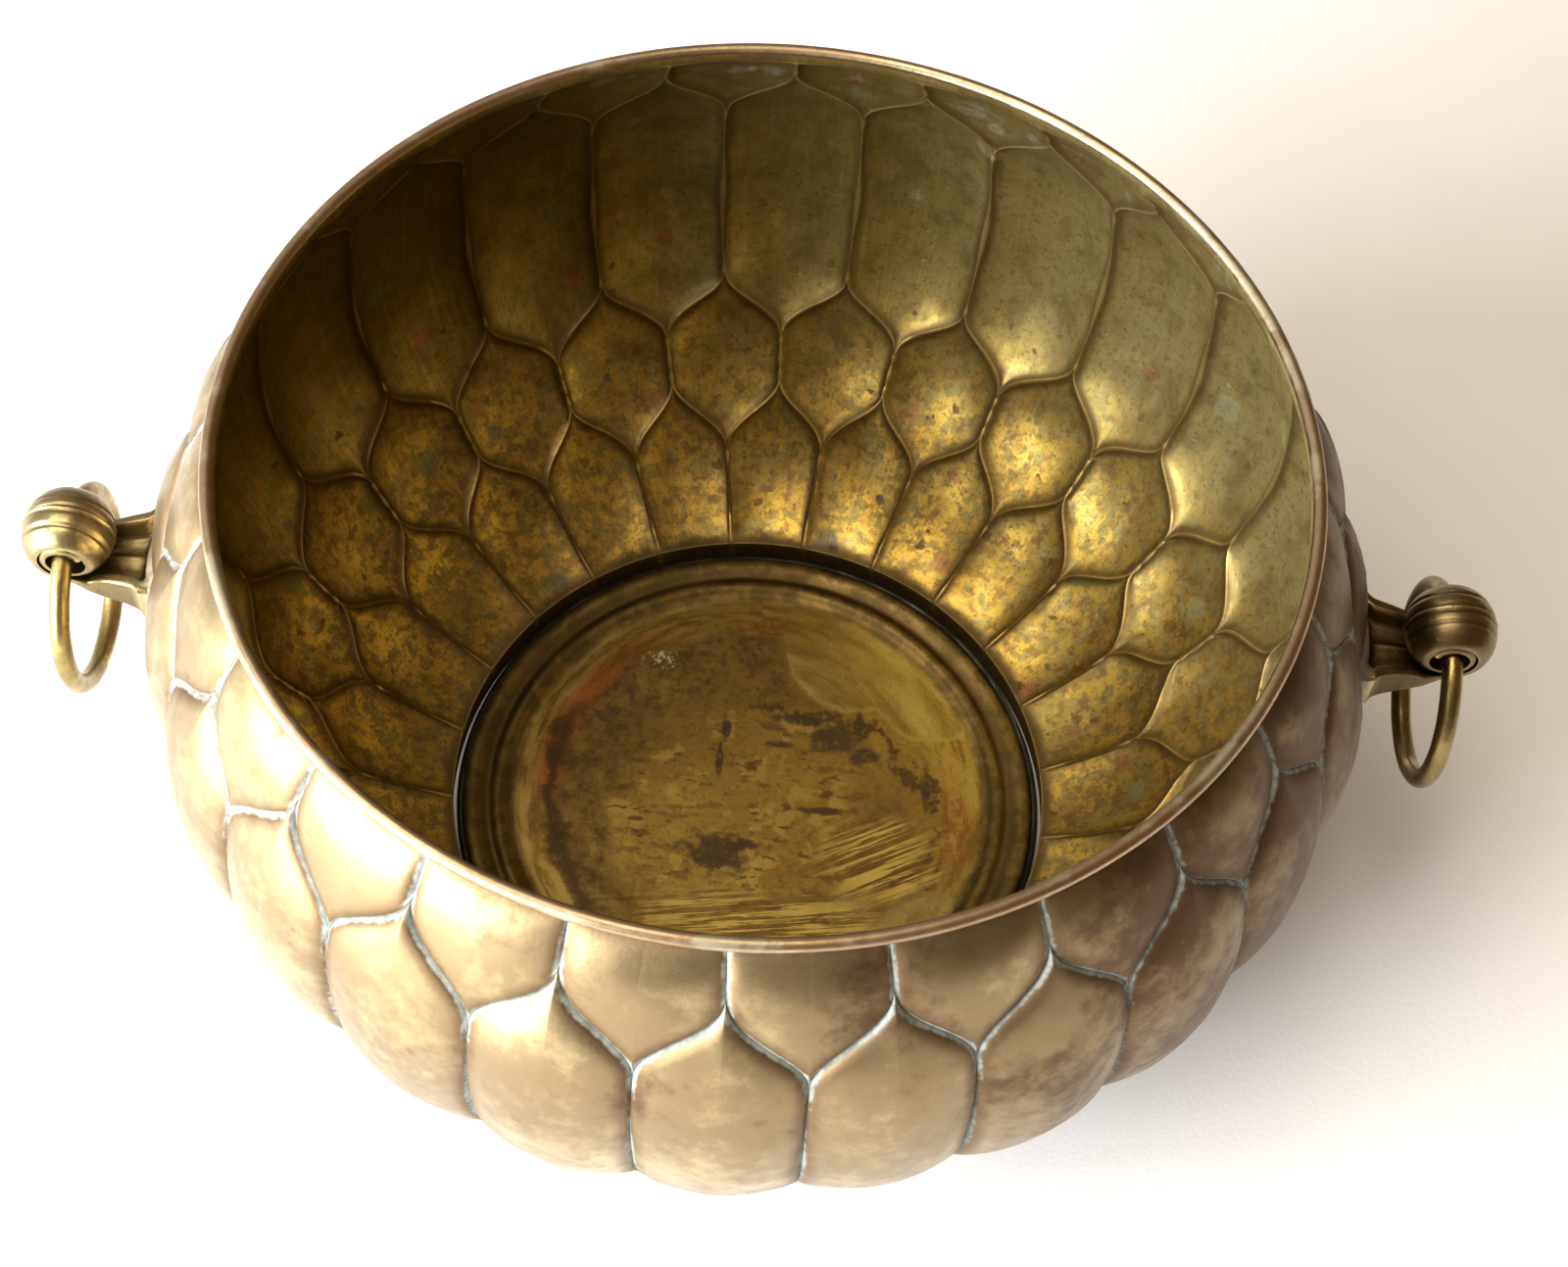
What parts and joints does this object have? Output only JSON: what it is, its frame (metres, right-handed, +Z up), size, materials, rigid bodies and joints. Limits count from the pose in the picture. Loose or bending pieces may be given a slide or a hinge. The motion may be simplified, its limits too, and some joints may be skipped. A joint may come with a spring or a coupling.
{
  "type": "planter pot",
  "caption": "Squat round brass bowl chased with overlapping ogee scales, rolled rim, stepped base dish, and a drop ring hanging from a cast scroll bracket on each side.",
  "frame": {"origin": "on the table, under the centre of the bowl", "axes": "+Z up through the bowl's axis, +X through the middle of one handle, -X through the other"},
  "size_m": [0.3706, 0.305, 0.171],
  "materials": {
    "bowl_shell": "satin, patinated, fine scratches",
    "rim_wire": "dull drawn wire",
    "base_dish": "satin, stained",
    "base_seam_solder": "dull grey soft solder",
    "bracket_left": "cast, dull, worn on the high spots",
    "bracket_right": "cast, dull, worn on the high spots",
    "ring_left": "worn bright",
    "ring_right": "worn bright",
    "screw_left": "turned, dull",
    "screw_right": "turned, dull",
    "washer_left": "stamped, dull",
    "washer_right": "stamped, dull"
  },
  "bodies": {
    "pot": {"bowl_shell": "bowl_shell", "rim_wire": "rim_wire", "base_dish": "base_dish", "base_seam_solder": "base_seam_solder", "bracket_left": "bracket_left", "bracket_right": "bracket_right", "screw_left": "screw_left", "screw_right": "screw_right", "washer_left": "washer_left", "washer_right": "washer_right"},
    "drop_ring_left": {"ring_left": "ring_left"},
    "drop_ring_right": {"ring_right": "ring_right"}
  },
  "joints": [
    {"name": "ring_right_swing", "type": "hinge", "parent": "pot", "child": "drop_ring_right", "pos_m": [0.1738, 0, 0.1118], "axis": [0, -1, 0], "range_deg": [-29, 216]},
    {"name": "ring_left_swing", "type": "hinge", "parent": "pot", "child": "drop_ring_left", "pos_m": [-0.1738, 0, 0.1118], "axis": [0, 1, 0], "range_deg": [-29, 216]}
  ]
}
